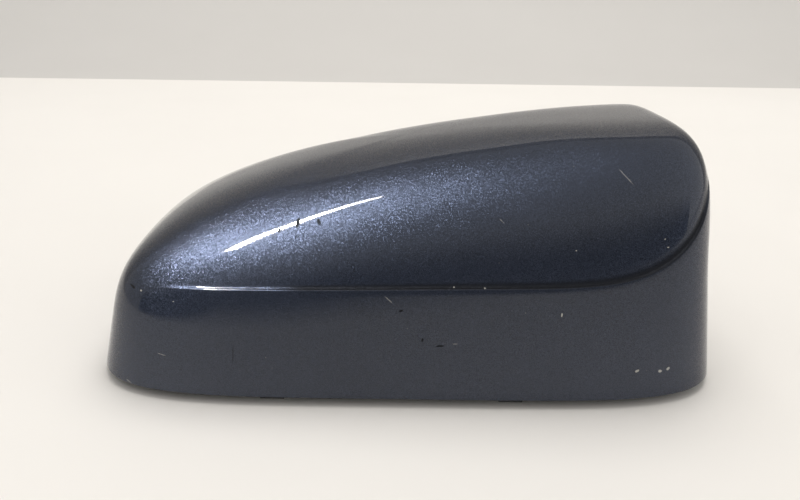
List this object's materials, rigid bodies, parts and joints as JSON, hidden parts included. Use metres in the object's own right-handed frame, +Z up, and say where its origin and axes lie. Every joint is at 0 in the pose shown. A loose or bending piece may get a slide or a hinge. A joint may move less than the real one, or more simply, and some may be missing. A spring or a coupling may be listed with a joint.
{
  "type": "wing mirror cover",
  "caption": "Painted moulded cover for the back of a car's wing mirror: a hollow dome over a drafted skirt, with a crease between them, a flat open rim and inward snap tabs.",
  "frame": {"origin": "middle of the outline, at the level of the tab ends on which the cover lies", "axes": "+X along the length towards the tall end, +Y across, +Z up from the open side to the dome"},
  "size_m": [0.2299, 0.1318, 0.0911],
  "materials": {
    "paint": "dark blue-grey metallic paint under clear coat outside, bare dark plastic inside"
  },
  "bodies": {
    "root": {"mirror_cover": "paint"}
  },
  "joints": []
}
